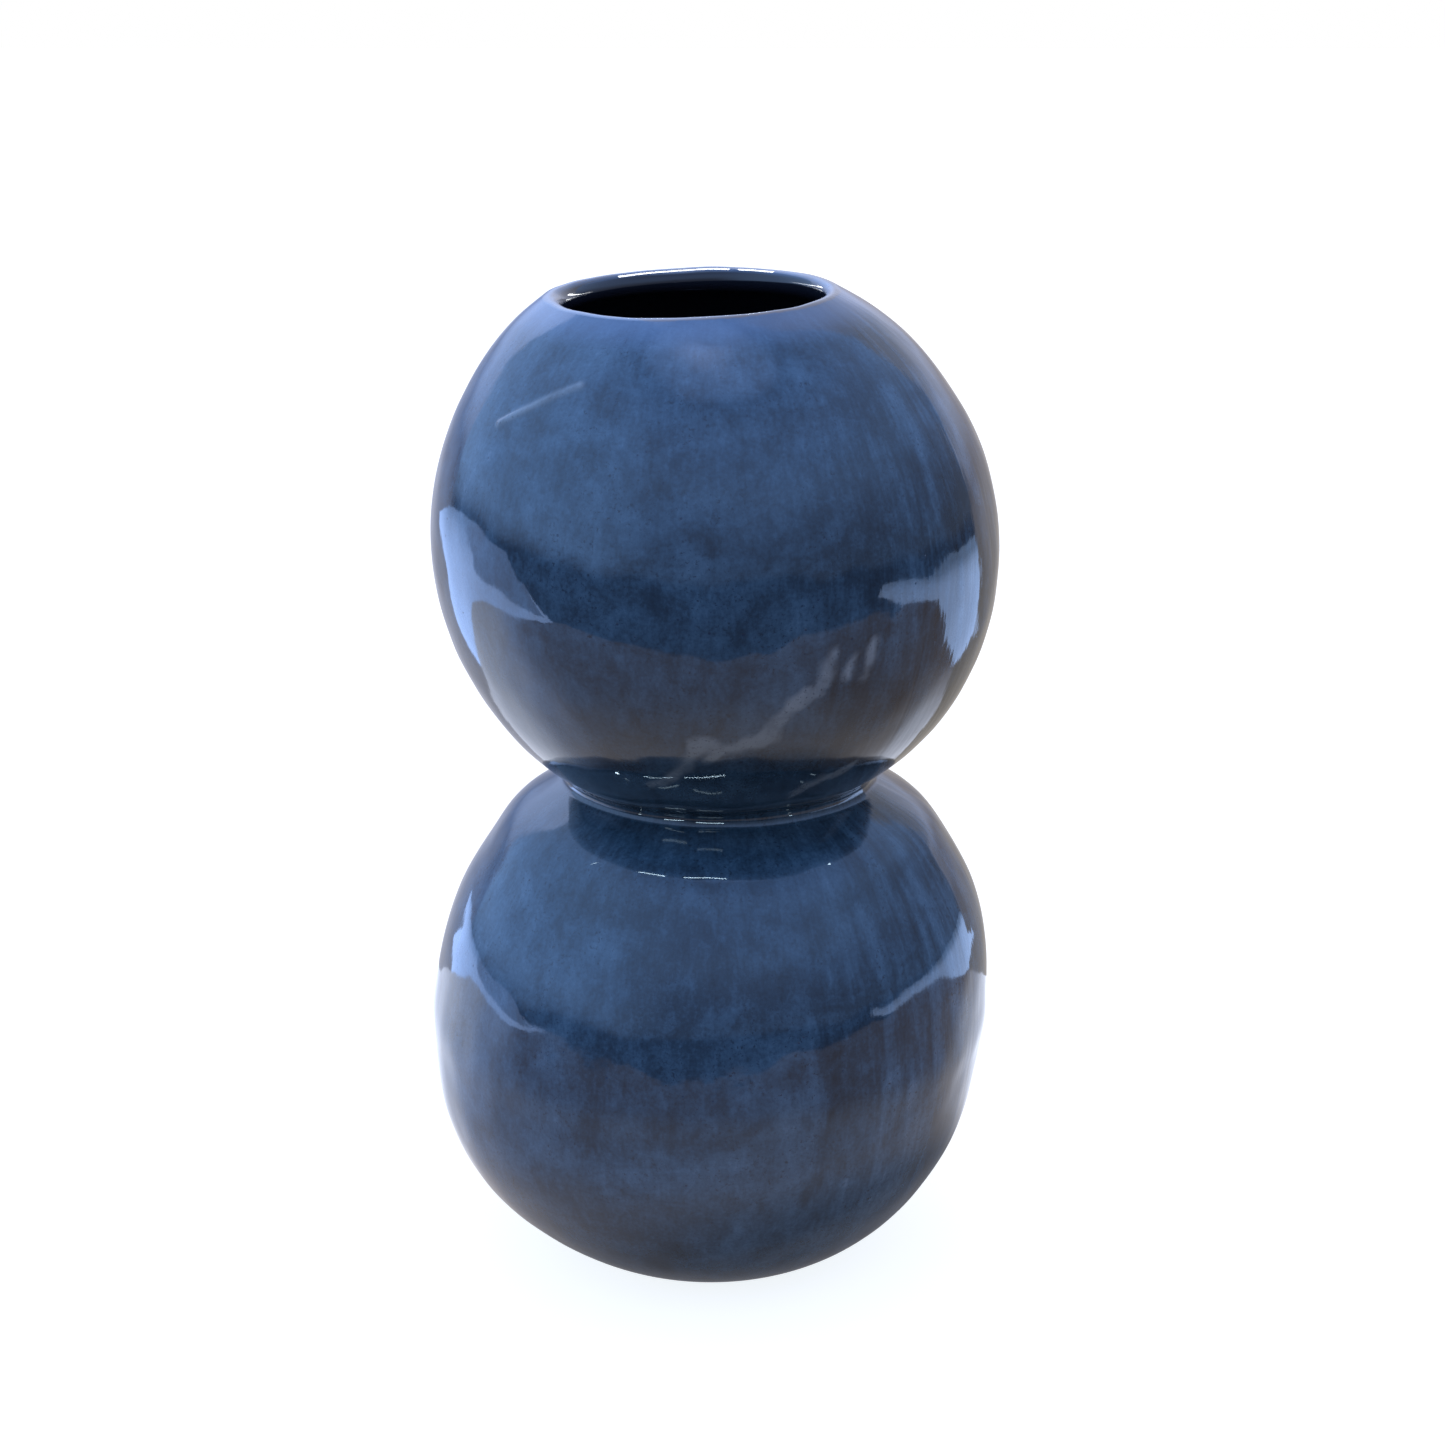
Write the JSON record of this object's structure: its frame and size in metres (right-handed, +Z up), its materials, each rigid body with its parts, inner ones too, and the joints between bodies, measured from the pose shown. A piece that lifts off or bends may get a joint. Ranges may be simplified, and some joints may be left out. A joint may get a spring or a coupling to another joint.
{
  "type": "stoneware double-gourd vase",
  "caption": "Double-gourd stoneware vase with a narrow waist, wide rolled mouth and deep blue glaze; stands free and holds water and flower stems.",
  "frame": {"origin": "centre of the bounding box at the foot plane, on the axis of the bulbs", "axes": "+Z up through the mouth; the front is -Y; the mouth is a little higher on the +X side"},
  "size_m": [0.1766, 0.1766, 0.3155],
  "materials": {
    "clay": "bare fired stoneware, matt and slightly gritty",
    "lip_glaze": "glossy slate blue glaze, thin and breaking brown over the crest of the lip",
    "outer_glaze": "glossy mottled slate blue with darker specks, clouds and drip streaks",
    "inner_glaze": "glossy blue-black liner"
  },
  "bodies": {
    "root": {"floor_slab": "clay", "foot_ring": "clay", "lower_bulb": "clay", "waist_collar": "clay", "upper_bulb": "clay", "mouth_lip": "clay", "lip_glaze": "lip_glaze", "outer_glaze": "outer_glaze", "inner_glaze": "inner_glaze"}
  },
  "joints": []
}
